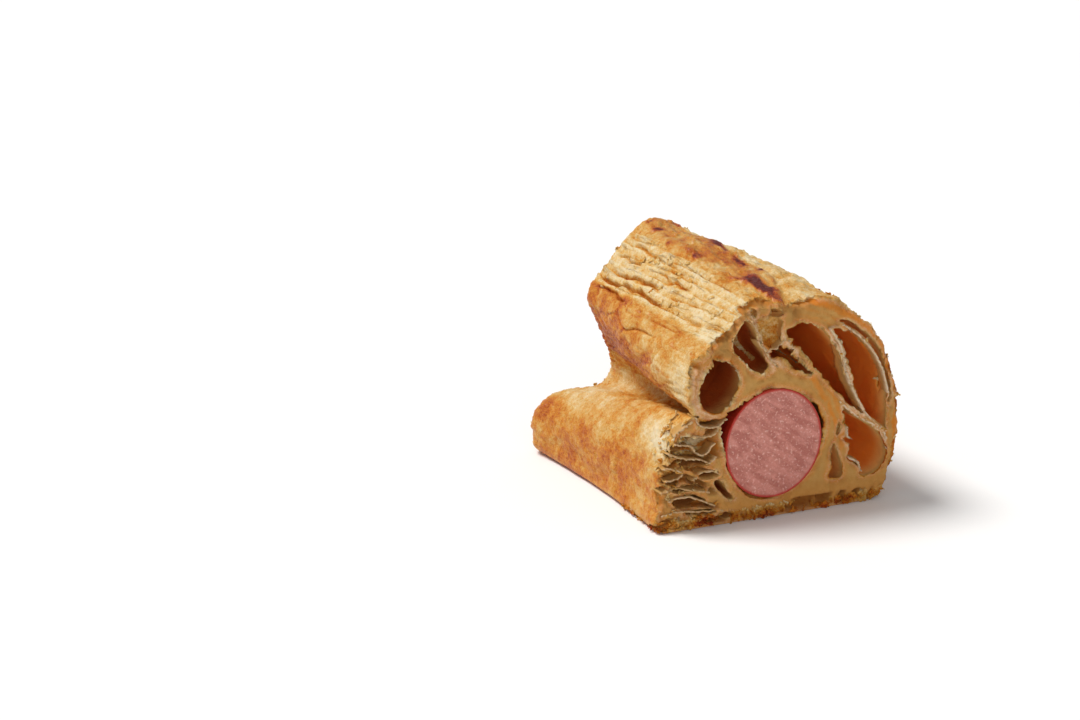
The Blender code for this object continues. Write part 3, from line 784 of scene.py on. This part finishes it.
def add(tree, kind, links=(), settings=(), **values):
    """A node with its settings, its inputs' values and its links as (input, socket)."""
    node = tree.nodes.new("ShaderNode" + kind)
    for key, value in dict(settings).items():
        setattr(node, key, value)
    for key, value in values.items():
        node.inputs[key.replace("_", " ")].default_value = value
    for key, socket in dict(links).items():
        tree.links.new(socket, node.inputs[key])
    return node


def new_material(name):
    """An empty material and its node tree."""
    material = bpy.data.materials.new(name)
    material.use_nodes = True
    tree = material.node_tree
    tree.nodes.clear()
    return material, tree


def ramp(tree, factor, stops):
    """A colour ramp; stops are (place, hex colour)."""
    node = add(tree, "ValToRGB", {"Fac": factor})
    elements = node.color_ramp.elements
    for at, colour in stops[2:]:
        elements.new(at)
    for element, (at, colour) in zip(elements, stops):
        element.position = at
        element.color = linear(colour)
    return node.outputs["Color"]


def fill_inputs(tree, node, values):
    """Link sockets, and set plain values, at the node's inputs by their index."""
    for index, value in values:
        if isinstance(value, bpy.types.NodeSocket):
            tree.links.new(value, node.inputs[index])
        else:
            node.inputs[index].default_value = value


def mixed(tree, factor, first, second):
    """The first colour, and the second one as the factor grows to 1."""
    node = add(tree, "Mix", settings={"data_type": "RGBA"})
    fill_inputs(tree, node, ((0, factor), (6, first), (7, second)))
    return node.outputs[2]


def maths(tree, operation, *values, clamp=False):
    node = add(tree, "Math", settings={"operation": operation, "use_clamp": clamp})
    fill_inputs(tree, node, enumerate(values))
    return node.outputs[0]


def swing(tree, value, amount):
    """Noise round 0.5 turned into a swing round 0."""
    return maths(tree, "MULTIPLY", maths(tree, "SUBTRACT", value, 0.5), amount)


def span(tree, value, start, end, to_start=0.0, to_end=1.0):
    """The value's stretch from start to end drawn out from to_start to to_end."""
    node = add(tree, "MapRange", From_Min=start, From_Max=end, To_Min=to_start, To_Max=to_end)
    tree.links.new(value, node.inputs["Value"])
    return node.outputs["Result"]


def attribute(tree, name):
    """A number stored on the piece's points."""
    return add(tree, "Attribute", settings={"attribute_name": name}).outputs["Fac"]


def grain(tree, size_mm, detail=4.0, rough=0.6, vector=None):
    """Noise whose lumps are about size_mm across."""
    if vector is None:
        vector = add(tree, "TexCoord").outputs["Object"]
    return add(tree, "TexNoise", {"Vector": vector}, Scale=1.0 / (size_mm * MM), Detail=detail,
               Roughness=rough).outputs["Fac"]


print("half grey in linear light:", round(linear("#808080")[0], 3))

# %% [markdown]
# ### Baked puff pastry
# Browned by heat from cream through gold to dark brown, with egg wash where it shines. The fine
# edges of the layers are drawn from the depth in the pile, so that they follow the dough, as dark
# lines of painted shade. The crumb at the cut is dense and matt, with painted shade in its hollows
# and a painted highlight on its torn rims, and the pockets' walls are smooth, tight and warm, with
# painted shade and bounce light deeper in.

# %% Baked puff pastry material
CRUST_STOPS = ((0.0, "#EEDCB6"), (0.22, "#E6C78E"), (0.42, "#DAA654"), (0.58, "#D08422"),
               (0.74, "#BB5E10"), (0.88, "#932F05"), (1.0, "#600F02"))
CRUMB = "#BD8945"
CRUMB_LIGHT = "#D3A662"
CRUMB_RIM_HIGHLIGHT = "#F1DABB"
POCKET_NEAR = "#F8C373"
POCKET_DEEP = "#FF9636"
SMALL_POCKET_NEAR = "#D59A54"
SMALL_POCKET_DEEP = "#B4531A"
CREVICE_SHADE = "#8E5422"
CRUST_EDGE = "#DC8020"
HOLLOW_SHADE = "#94602A"


def baked_puff_pastry():
    material, tree = new_material("baked_puff_pastry")
    output = add(tree, "OutputMaterial")
    fine = grain(tree, 0.9, 6.0, 0.65)
    freckle = grain(tree, 0.35, 3.0, 0.6)
    glaze = attribute(tree, "glaze")
    blotches = swing(tree, fine, span(tree, glaze, 0.0, 1.0, 0.80, 0.55))
    heat_and_shade = maths(tree, "ADD", attribute(tree, "browning_and_shade"), blotches)
    heat_and_shade = maths(tree, "ADD", heat_and_shade, swing(tree, freckle, 0.62))
    crust = ramp(tree, heat_and_shade, CRUST_STOPS)

    # thin dark lines of painted shade between the layers, which follow the pile of layers and run far
    # along the roll
    coordinates = add(tree, "TexCoord").outputs["Object"]
    split = add(tree, "SeparateXYZ", {"Vector": coordinates})
    pile = add(tree, "CombineXYZ", {"X": maths(tree, "MULTIPLY", attribute(tree, "layer_depth"), MM),
                                    "Y": maths(tree, "MULTIPLY", split.outputs["Y"], 0.05)})
    layers = grain(tree, 0.55, 3.0, 0.7, pile.outputs["Vector"])
    lines = maths(tree, "MULTIPLY", span(tree, layers, 0.56, 0.70), attribute(tree, "layered"))
    crust = mixed(tree, maths(tree, "MULTIPLY", lines, 0.55), crust, linear(CREVICE_SHADE))

    mottle = grain(tree, 1.6, 5.0, 0.7)
    crumb = mixed(tree, mottle, linear(CRUMB), linear(CRUMB_LIGHT))
    # painted shade in the cut's broken hollows and small cells
    crumb = mixed(tree, maths(tree, "MULTIPLY", attribute(tree, "hollow"), 0.7), crumb, linear(HOLLOW_SHADE))
    # the crust's edge in the cut, and painted shade at the cut's foot
    edge = maths(tree, "MULTIPLY", attribute(tree, "crust_edge_and_shade"), 0.9)
    crumb = mixed(tree, edge, crumb, linear(CRUST_EDGE))
    # pocket walls: pale near the cut and deep orange further in, painted shade and bounce light; the small
    # pockets' walls are darker, painted shade, and those beside the fold brighter, a painted glow
    wall = mixed(tree, attribute(tree, "pocket_depth"), linear(POCKET_NEAR), linear(POCKET_DEEP))
    small_wall = mixed(tree, attribute(tree, "pocket_depth"), linear(SMALL_POCKET_NEAR),
                       linear(SMALL_POCKET_DEEP))
    wall = mixed(tree, attribute(tree, "pocket_light"), small_wall, wall)
    crumb = mixed(tree, attribute(tree, "pocket_wall"), crumb, wall)
    # a painted highlight along the torn rims, strongest on the thin films
    rim_highlight = maths(tree, "MULTIPLY", attribute(tree, "rim"), span(tree, freckle, 0.35, 0.6))
    thin_film = maths(tree, "MULTIPLY", attribute(tree, "rim"), attribute(tree, "film"))
    thin_film = maths(tree, "MULTIPLY", thin_film, maths(tree, "ADD", freckle, 0.35), clamp=True)
    rim_highlight = maths(tree, "ADD", maths(tree, "MULTIPLY", rim_highlight, 0.35), thin_film, clamp=True)
    crumb = mixed(tree, rim_highlight, crumb, linear(CRUMB_RIM_HIGHLIGHT))
    colour = mixed(tree, attribute(tree, "crumb"), crust, crumb)

    rough = span(tree, glaze, 0.0, 1.0, 0.7, 0.33)
    rough = maths(tree, "ADD", rough, maths(tree, "MULTIPLY", attribute(tree, "crumb"), 0.25),
                  clamp=True)
    dust = grain(tree, 0.16, 2.0, 0.6)
    height = maths(tree, "ADD", maths(tree, "MULTIPLY", fine, 0.6), maths(tree, "MULTIPLY", freckle, 0.35))
    height = maths(tree, "ADD", height, maths(tree, "MULTIPLY", dust, 0.22))
    height = maths(tree, "SUBTRACT", height, maths(tree, "MULTIPLY", lines, 0.5))
    bump = add(tree, "Bump", {"Height": height}, Strength=0.8, Distance=0.8 * MM)
    shader = add(tree, "BsdfPrincipled",
                 {"Base Color": colour, "Roughness": rough, "Normal": bump.outputs["Normal"],
                  "Coat Weight": maths(tree, "MULTIPLY", glaze, 0.35)},
                 IOR=1.45, Specular_IOR_Level=0.25, Coat_Roughness=0.32, Subsurface_Weight=0.1,
                 Subsurface_Scale=1.2 * MM, Subsurface_Radius=(1.0, 0.5, 0.25))
    tree.links.new(shader.outputs[0], output.inputs["Surface"])
    return material


puff_pastry = baked_puff_pastry()
for piece in (pastry_crust, pastry_crumb):
    piece.data.materials.append(puff_pastry)
    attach(piece, "root")
    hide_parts("pastry")
print("baked puff pastry:", len(puff_pastry.node_tree.nodes), "nodes")

# %% [markdown]
# ## Torn films
# Where steam blew the layers apart, single films of dough stand in the cut with ragged edges.
# They are about as thin as the remesh is coarse, so they would come out lumpy in the one skin.
# Instead each is a line on the cut, drawn back into the roll by extruding its edges, a little
# curled, and then given a thickness.

# %% Draw the films back from the cut
FILM_THICKNESS = 0.34
FILM_STEPS = 6
TORN_FILMS = (
    # line (x, z) on the cut, how far it starts in front (-) or behind (+), how deep it runs
    (((9.6, 26.3), (10.5, 24.4), (12.4, 23.6), (15.0, 23.4), (17.4, 24.9)), -0.5, 3.6),
    (((4.4, 22.4), (6.2, 23.6), (8.9, 25.3)), -0.3, 3.0),
    (((7.9, 21.0), (9.4, 21.7), (12.0, 21.2), (14.4, 21.6), (16.0, 23.0)), -0.2, 3.6),
    (((4.4, 20.6), (6.6, 20.2), (8.6, 19.7), (9.6, 18.2), (11.8, 17.3), (14.4, 19.8)), -0.6, 3.6),
    (((3.0, 18.6), (5.2, 17.5), (8.0, 16.7), (10.8, 16.2), (13.4, 15.1), (15.0, 16.4)), -0.4, 3.6),
    (((1.9, 15.2), (4.2, 14.8), (6.6, 13.6), (5.4, 12.4), (2.6, 12.2)), -0.2, 3.2),
    (((9.6, 11.4), (11.6, 12.9), (14.6, 12.9), (16.8, 11.4)), -0.2, 3.6),
    (((1.6, 9.4), (5.6, 9.9), (9.6, 9.0), (13.6, 8.0)), 0.0, 3.2),
    (((3.4, 7.4), (7.4, 8.0), (11.2, 6.6), (14.8, 4.8)), -0.4, 3.6),
    (((1.6, 4.2), (6.4, 4.6), (11.6, 3.8), (17.0, 3.4)), -0.2, 2.6),
    (((23.3, 46.8), (24.4, 44.6), (25.4, 42.4), (26.2, 40.4), (27.8, 37.6), (29.8, 35.4)), -0.7, 4.6),
    (((24.9, 42.0), (26.6, 39.9), (29.6, 39.7), (31.6, 41.2), (33.0, 41.0)), -0.4, 3.0),
    (((43.2, 42.6), (45.4, 39.4), (46.9, 36.2), (47.5, 33.2), (48.6, 29.8), (50.4, 26.3), (52.6, 22.4),
      (54.6, 19.8)), -0.8, 4.4),
    (((46.4, 25.0), (49.3, 22.4), (52.0, 20.3), (55.3, 18.5), (58.0, 16.6), (59.3, 14.4)), -0.3, 4.0),
    (((46.6, 43.2), (49.8, 40.9), (53.2, 37.9), (56.0, 34.2), (57.9, 30.2), (59.2, 25.4)), -0.5, 3.0),
    (((48.6, 18.6), (48.9, 16.4), (49.9, 15.6)), -0.5, 2.4),
    (((49.3, 11.0), (51.8, 9.6), (52.8, 7.4)), -0.5, 3.0),
)


def draw_film(shape, line, start, reach, rng):
    """One thin film: a line on the cut, extruded backwards in a few curling steps."""
    along = smooth_line(line, 8, closed=False)
    front = []
    for index, (x, z) in enumerate(along):
        ragged = abs(0.45 * rng.normal()) if 0 < index < len(along) - 1 else 0.0
        shift = rng.normal(0.0, 0.06, 2)
        front.append(shape.verts.new(place(x + shift[0], start + ragged, z + shift[1])))
    edges = [shape.edges.new(pair) for pair in zip(front, front[1:])]
    for wander in rng.normal(0.0, 0.10, (FILM_STEPS, 2)):
        move = Vector((wander[0], reach / FILM_STEPS, wander[1])) * MM
        edges = extrude_line(shape, edges, Matrix.Translation(move))


rng = np.random.default_rng(31)
sheet = bmesh.new()
for line, start, reach in TORN_FILMS:
    draw_film(sheet, line, start, reach, rng)
torn_films = object_from(sheet, "torn_films")
thicken = torn_films.modifiers.new("thickness", "SOLIDIFY")
thicken.thickness = FILM_THICKNESS * MM
thicken.offset = 0.0
finish_modifiers(torn_films)
x, y, _ = read_points(torn_films.data).T
by_fold = step(x, 38.0, 44.0)
# the films' front edges get the painted rim highlight, and those by the fold the brighter painted pocket
# colours
for name, values in (("crumb", np.ones(len(y))), ("rim", bell(y + 0.4, 0.9)),
                     ("film", 0.25 + 0.45 * by_fold), ("pocket_light", by_fold),
                     ("pocket_wall", 0.6 * step(y, 0.8, 3.0) * step(x, 17.0, 20.0)),
                     ("pocket_depth", step(y, 0.6, 6.5))):
    set_attribute(torn_films.data, name, values)
torn_films.data.shade_smooth()
torn_films.data.materials.append(puff_pastry)
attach(torn_films, "root")
print("torn films:", len(torn_films.data.polygons), "faces")

# %% [markdown]
# ## Loose flakes
# A knife and a hot oven leave flakes: thin, curled chips of single layers. Each is a small grid
# with some of its edge gone, bent, given a thickness, and laid on the pastry. They gather
# along the foot of the cut, on the layered brow and on the lower flap's edge. Particles would
# scatter them too, but joined meshes stay with the model wherever it goes.

# %% Make and scatter the flakes
FLAKE_THICKNESS = 0.13


def flake(rng, size, matrix):
    """The mesh of one curled chip of a layer, about size mm long."""
    shape = bmesh.new()
    corners = bmesh.ops.create_grid(shape, x_segments=5, y_segments=4, size=0.5)["verts"]
    bend, twist = rng.uniform(-0.9, 0.9), rng.uniform(-0.5, 0.5)
    for corner in corners:
        u, v = corner.co.x, corner.co.y
        corner.co += Vector((*rng.uniform(-0.05, 0.05, 2), bend * u * u + twist * u * v))
    outer = [face for face in shape.faces if any(edge.is_boundary for edge in face.edges)]
    gone = [face for face in outer if rng.random() < 0.4]
    bmesh.ops.delete(shape, geom=gone, context="FACES")
    proportions = Vector((1.0, rng.uniform(0.4, 0.8), 1.0))
    bmesh.ops.scale(shape, vec=proportions * size * MM, verts=shape.verts)
    bmesh.ops.solidify(shape, geom=shape.faces[:], thickness=FLAKE_THICKNESS * MM)
    bmesh.ops.transform(shape, matrix=matrix, verts=shape.verts)
    mesh = bpy.data.meshes.new("flake")
    shape.to_mesh(mesh)
    shape.free()
    return mesh


def surface_spots(item, where, count, rng):
    """Random (place, normal) pairs on the item's surface, among the points that where allows."""
    points, normals = read_points(item.data), read_normals(item.data)
    allowed = np.flatnonzero(where(*points.T, normals))
    return [(points[index], normals[index]) for index in rng.choice(allowed, count)]


def lay(spot, normal, rng, tilt):
    """A matrix that puts a chip on a spot, leaning a little and turned at random."""
    lean = Vector(normal) + Vector(rng.uniform(-tilt, tilt, 3))
    turn = lean.to_track_quat("Z", "Y").to_matrix().to_4x4()
    return (Matrix.Translation(place(*(spot + 0.12 * np.array(normal)))) @ turn
            @ Matrix.Rotation(rng.uniform(0.0, math.tau), 4, "Z"))


def foot_of_cut(x, y, z, normal):
    return (z < 2.6) & (y < 1.5) & (normal[:, 1] < -0.2)


def flap_layers(x, y, z, normal):
    return (x < 16.0) & (z < 24.0) & (y < 3.0)


def brow(x, y, z, normal):
    return (x > 12.0) & (x < 24.0) & (z > 42.0) & (normal[:, 0] < -0.3) & (y < 60.0)


def flap_lip(x, y, z, normal):
    return (x < 9.0) & (z > 14.0) & (z < 26.0) & (y < 7.0)


def fold_lip(x, y, z, normal):
    return (x > 46.0) & (y < 14.0) & (z > 6.0)


def baked_end(x, y, z, normal):
    return (y > 58.0) & (normal[:, 1] > 0.5)


def foot_of_skin(x, y, z, normal):
    return (z < 1.2) & (z > 0.3) & (y < 20.0)


FLAKE_PLACES = (
    # piece, where on it, how many, least and most length in mm, lean
    (pastry_crumb, foot_of_cut, 260, 0.5, 2.4, 0.9),
    (pastry_crumb, flap_layers, 34, 0.6, 1.8, 1.0),
    (pastry_crust, brow, 45, 0.8, 2.4, 0.12),
    (pastry_crust, flap_lip, 60, 0.8, 2.6, 0.5),
    (pastry_crust, fold_lip, 70, 0.7, 2.4, 0.4),
    (pastry_crust, baked_end, 160, 0.8, 2.6, 0.3),
    (pastry_crust, foot_of_skin, 50, 0.5, 1.5, 0.8),
)
rng = np.random.default_rng(19)
chips = bmesh.new()
for item, where, count, least, most, lean in FLAKE_PLACES:
    for spot, normal in surface_spots(item, where, count, rng):
        if spot[2] < 0.5:
            spot = spot + (0.0, 0.0, 0.5)
        chip = flake(rng, rng.uniform(least, most), lay(spot, normal, rng, lean))
        chips.from_mesh(chip)
        bpy.data.meshes.remove(chip)
floor_level = PASTRY_LOW.z + 0.02 * MM
for corner in chips.verts:
    corner.co.z = max(corner.co.z, floor_level)
flakes = object_from(chips, "flakes")
spots = read_points(flakes.data)
flake_heat = 0.34 + 0.28 * fractal(spots, 4.0, 120, 2) + 0.36 * step(3.4 - spots[:, 2], 0.0, 2.0)
set_attribute(flakes.data, "browning_and_shade", np.clip(flake_heat, 0.0, 0.86))
flakes.data.shade_smooth()
flakes.data.materials.append(puff_pastry)
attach(flakes, "root")
print("flakes:", len(flakes.data.polygons), "faces")

# %% [markdown]
# ## The sausage
# A cooked frankfurter: a fine, moist, pink paste in a thin, tight, red casing. At the cut the
# casing shows as a narrow ring. At the other end it is drawn to a small pale pucker, and creases
# run out from it. A spun profile would be straight, but this sausage leans in its bore, so a
# circle is extruded ring by ring along its line, close enough to hold the creases.

# %% Sausage form
SAUSAGE_TIP = 60.0
SAUSAGE_DOME = 15.0
SAUSAGE_SIDES = 220
CUT_RINGS = 24
CREASES = 13


def sausage_outline():
    """(how far along, share of full size) from the middle of the cut to the tip."""
    cut = [(0.0, share) for share in np.linspace(0.04, 0.9, CUT_RINGS)]
    # the cut edge of the casing swells out a little
    rim = [(-0.02, 0.94), (-0.08, 0.968), (-0.14, 0.985), (-0.08, 0.997), (0.15, 1.0)]
    straight = SAUSAGE_TIP - SAUSAGE_DOME
    side = [(along, 1.0) for along in np.linspace(0.6, straight, 70)]
    dome = [(straight + SAUSAGE_DOME * math.sin(turn), math.cos(turn))
            for turn in np.linspace(0.02, math.pi / 2 - 0.03, 60)]
    return cut + rim + side + dome


def ring_matrix(along, share):
    """Turns a flat circle of radius 1 into the sausage's ring at this place and size."""
    centre = sausage_centre(along)
    size = Matrix.Diagonal((SAUSAGE_HALF_WIDTH * share * MM, 1.0, SAUSAGE_HALF_HEIGHT * share * MM, 1.0))
    return (Matrix.Translation(place(centre[0], along, centre[1])) @ size
            @ Matrix.Rotation(math.pi / 2.0, 4, "X"))


def build_sausage(outline):
    """A small disc at the middle of the cut, extruded ring by ring to the tip and closed there."""
    shape = bmesh.new()
    bmesh.ops.create_circle(shape, cap_ends=True, radius=1.0, segments=SAUSAGE_SIDES,
                            matrix=ring_matrix(*outline[0]))
    edges = shape.edges[:]
    for before, after in zip(outline, outline[1:]):
        edges = extrude_line(shape, edges, ring_matrix(*after) @ ring_matrix(*before).inverted())
    bmesh.ops.contextual_create(shape, geom=edges)
    bmesh.ops.recalc_face_normals(shape, faces=shape.faces)
    return object_from(shape, "sausage_whole")


OUTLINE = sausage_outline()
sausage = build_sausage(OUTLINE)
print("sausage:", len(OUTLINE), "rings of", SAUSAGE_SIDES)

# %% Sausage relief: creases, pucker and swell
points = read_points(sausage.data)
along, share = np.repeat(OUTLINE, SAUSAGE_SIDES, axis=0).T
centre = sausage_centre(along)
around = np.arctan2(points[:, 2] - centre[:, 1], points[:, 0] - centre[:, 0])
casing = np.repeat(np.arange(len(OUTLINE)) >= CUT_RINGS, SAUSAGE_SIDES).astype(float)
to_tip = step(along, SAUSAGE_TIP - SAUSAGE_DOME - 2.0, SAUSAGE_TIP - 1.0)
wobble = 0.5 * noise(np.stack([along, np.cos(around) * 4, np.sin(around) * 4], 1), 4.0, 90)
crease = np.abs(np.sin((CREASES / 2.0) * (around + 0.25 * wobble)))
crease_depth = 0.75 * (1.0 - np.minimum(1.0, crease * 2.6)) * to_tip * step(share, 0.02, 0.3)
radial = np.stack([np.cos(around), 0.0 * around, np.sin(around)], 1)
points -= radial * crease_depth[:, None] * casing[:, None]
swell = 0.16 * (fractal(points, (6.0, 9.0, 6.0), 91, 2) - 1.0) * casing * step(along, 1.0, 6.0)
points += radial * swell[:, None]
pucker = (share < 0.14) & (casing > 0)
points[pucker, 1] -= 0.9 * (1.0 - share[pucker] / 0.14)
face = casing < 0.5
points[face, 1] += 0.05 * fractal(points[face], (0.9, 1.0, 0.9), 92, 2) - 0.25 * (1 - share[face] ** 2)
write_points(sausage.data, points)
set_attribute(sausage.data, "casing", casing * step(share + (along > 1.0), 0.95, 0.975))
set_attribute(sausage.data, "tip", np.where(casing > 0, 1.0 - step(share, 0.05, 0.22), 0.0) * (along > 30))
set_attribute(sausage.data, "crease", crease_depth * casing)
sausage.data.shade_smooth()
print("deepest crease:", round(float(crease_depth.max()), 2), "mm")


# %% [markdown]
# ### Cooked sausage
# The paste is moist and pink, with pale specks of fat, small pores and faint slanting bands where
# the knife dragged it. The casing is smoked red, tight and glossy, pale at the pucker, and darkened
# in its creases by painted shade. Light enters both a little, so they get some subsurface scattering.

# %% Cooked sausage material
PASTE = "#B45C50"
PASTE_LIGHT = "#EAA999"
DRAGGED = "#A65346"
FAT_SPECK = "#EFC2B4"
PORE = "#8E4238"
CASING = "#A8231A"
CASING_LIGHT = "#C23A26"
CREASE_SHADE = "#5E0A08"
PUCKER = "#E39A6A"


def cooked_sausage():
    material, tree = new_material("cooked_sausage")
    output = add(tree, "OutputMaterial")
    coordinates = add(tree, "TexCoord").outputs["Object"]
    fat = grain(tree, 0.7, 5.0, 0.7)
    flecks = span(tree, grain(tree, 0.6, 2.0, 0.5), 0.57, 0.68)
    # the knife dragged the paste a little across the cut
    turned = add(tree, "Mapping", {"Vector": coordinates}, {"vector_type": "TEXTURE"})
    turned.inputs["Rotation"].default_value = (0.0, math.radians(34.0), 0.0)
    turned.inputs["Scale"].default_value = (3.2, 3.2, 1.0)
    drag = grain(tree, 1.7, 2.0, 0.5, turned.outputs["Vector"])
    bands = span(tree, drag, 0.42, 0.60, 0.0, 0.6)
    meat = mixed(tree, fat, linear(PASTE), linear(PASTE_LIGHT))
    meat = mixed(tree, bands, meat, linear(DRAGGED))
    meat = mixed(tree, maths(tree, "MULTIPLY", flecks, 0.65), meat, linear(FAT_SPECK))
    pores = span(tree, grain(tree, 0.5, 2.0, 0.6), 0.36, 0.28)
    meat = mixed(tree, maths(tree, "MULTIPLY", pores, 0.5), meat, linear(PORE))
    skin = mixed(tree, fat, linear(CASING), linear(CASING_LIGHT))
    # painted shade in the creases
    skin = mixed(tree, attribute(tree, "crease"), skin, linear(CREASE_SHADE))
    skin = mixed(tree, maths(tree, "MULTIPLY", attribute(tree, "tip"), 0.7), skin, linear(PUCKER))
    colour = mixed(tree, attribute(tree, "casing"), meat, skin)
    rough = span(tree, attribute(tree, "casing"), 0.0, 1.0, 0.42, 0.22)
    height = maths(tree, "ADD", fat, maths(tree, "MULTIPLY", drag, 0.8))
    bump = add(tree, "Bump", {"Height": height}, Strength=0.6, Distance=0.5 * MM)
    shader = add(tree, "BsdfPrincipled",
                 {"Base Color": colour, "Roughness": rough, "Normal": bump.outputs["Normal"]},
                 IOR=1.40, Subsurface_Weight=0.25, Subsurface_Scale=2.0 * MM,
                 Subsurface_Radius=(1.0, 0.35, 0.25))
    tree.links.new(shader.outputs[0], output.inputs["Surface"])
    return material


sausage.data.materials.append(cooked_sausage())
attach(sausage, "root")
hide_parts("sausage")
print("cooked sausage:", len(sausage.active_material.node_tree.nodes), "nodes")

# %% [markdown]
# ## Table and light
# A plain white table under a big soft light from above, with weaker light from the front.

# %% Table
def plain_table():
    material, tree = new_material("white_table")
    output = add(tree, "OutputMaterial")
    shader = add(tree, "BsdfPrincipled", Base_Color=linear("#FBFBFB"), Roughness=0.7)
    tree.links.new(shader.outputs[0], output.inputs["Surface"])
    return material


TABLE_HALF = 3000.0 * MM
TABLE_TOP = PASTRY_LOW.z - 0.05 * MM
top = bmesh.new()
bmesh.ops.create_grid(top, x_segments=1, y_segments=1, size=TABLE_HALF,
                      matrix=Matrix.Translation((0.0, 0.0, TABLE_TOP)))
table = object_from(top, "table")
table.data.materials.append(plain_table())
print("table top at", round(TABLE_TOP / MM, 2), "mm")

# %% Lights
def soft_sun(name, azimuth, elevation, spread, strength, colour):
    """A big even light from far away; azimuth 0 is behind the roll, and it grows to the right."""
    data = bpy.data.lights.new(name, "SUN")
    data.energy = strength
    data.angle = math.radians(spread)
    data.color = linear(colour)[:3]
    item = bpy.data.objects.new(name, data)
    bpy.context.scene.collection.objects.link(item)
    turn, rise = math.radians(azimuth), math.radians(elevation)
    toward = Vector((math.sin(turn) * math.cos(rise), math.cos(turn) * math.cos(rise), math.sin(rise)))
    item.rotation_euler = toward.to_track_quat("Z", "Y").to_euler()


soft_sun("overhead", -52.0, 60.0, 24.0, 2.75, "#FFFDFA")
soft_sun("front", 196.0, 20.0, 40.0, 0.5, "#FFFFFF")
world = bpy.data.worlds.new("studio")
bpy.context.scene.world = world
world.use_nodes = True
background = world.node_tree.nodes["Background"]
background.inputs["Color"].default_value = linear("#FFFFFF")
background.inputs["Strength"].default_value = 0.32
bpy.context.scene.view_settings.view_transform = "Standard"
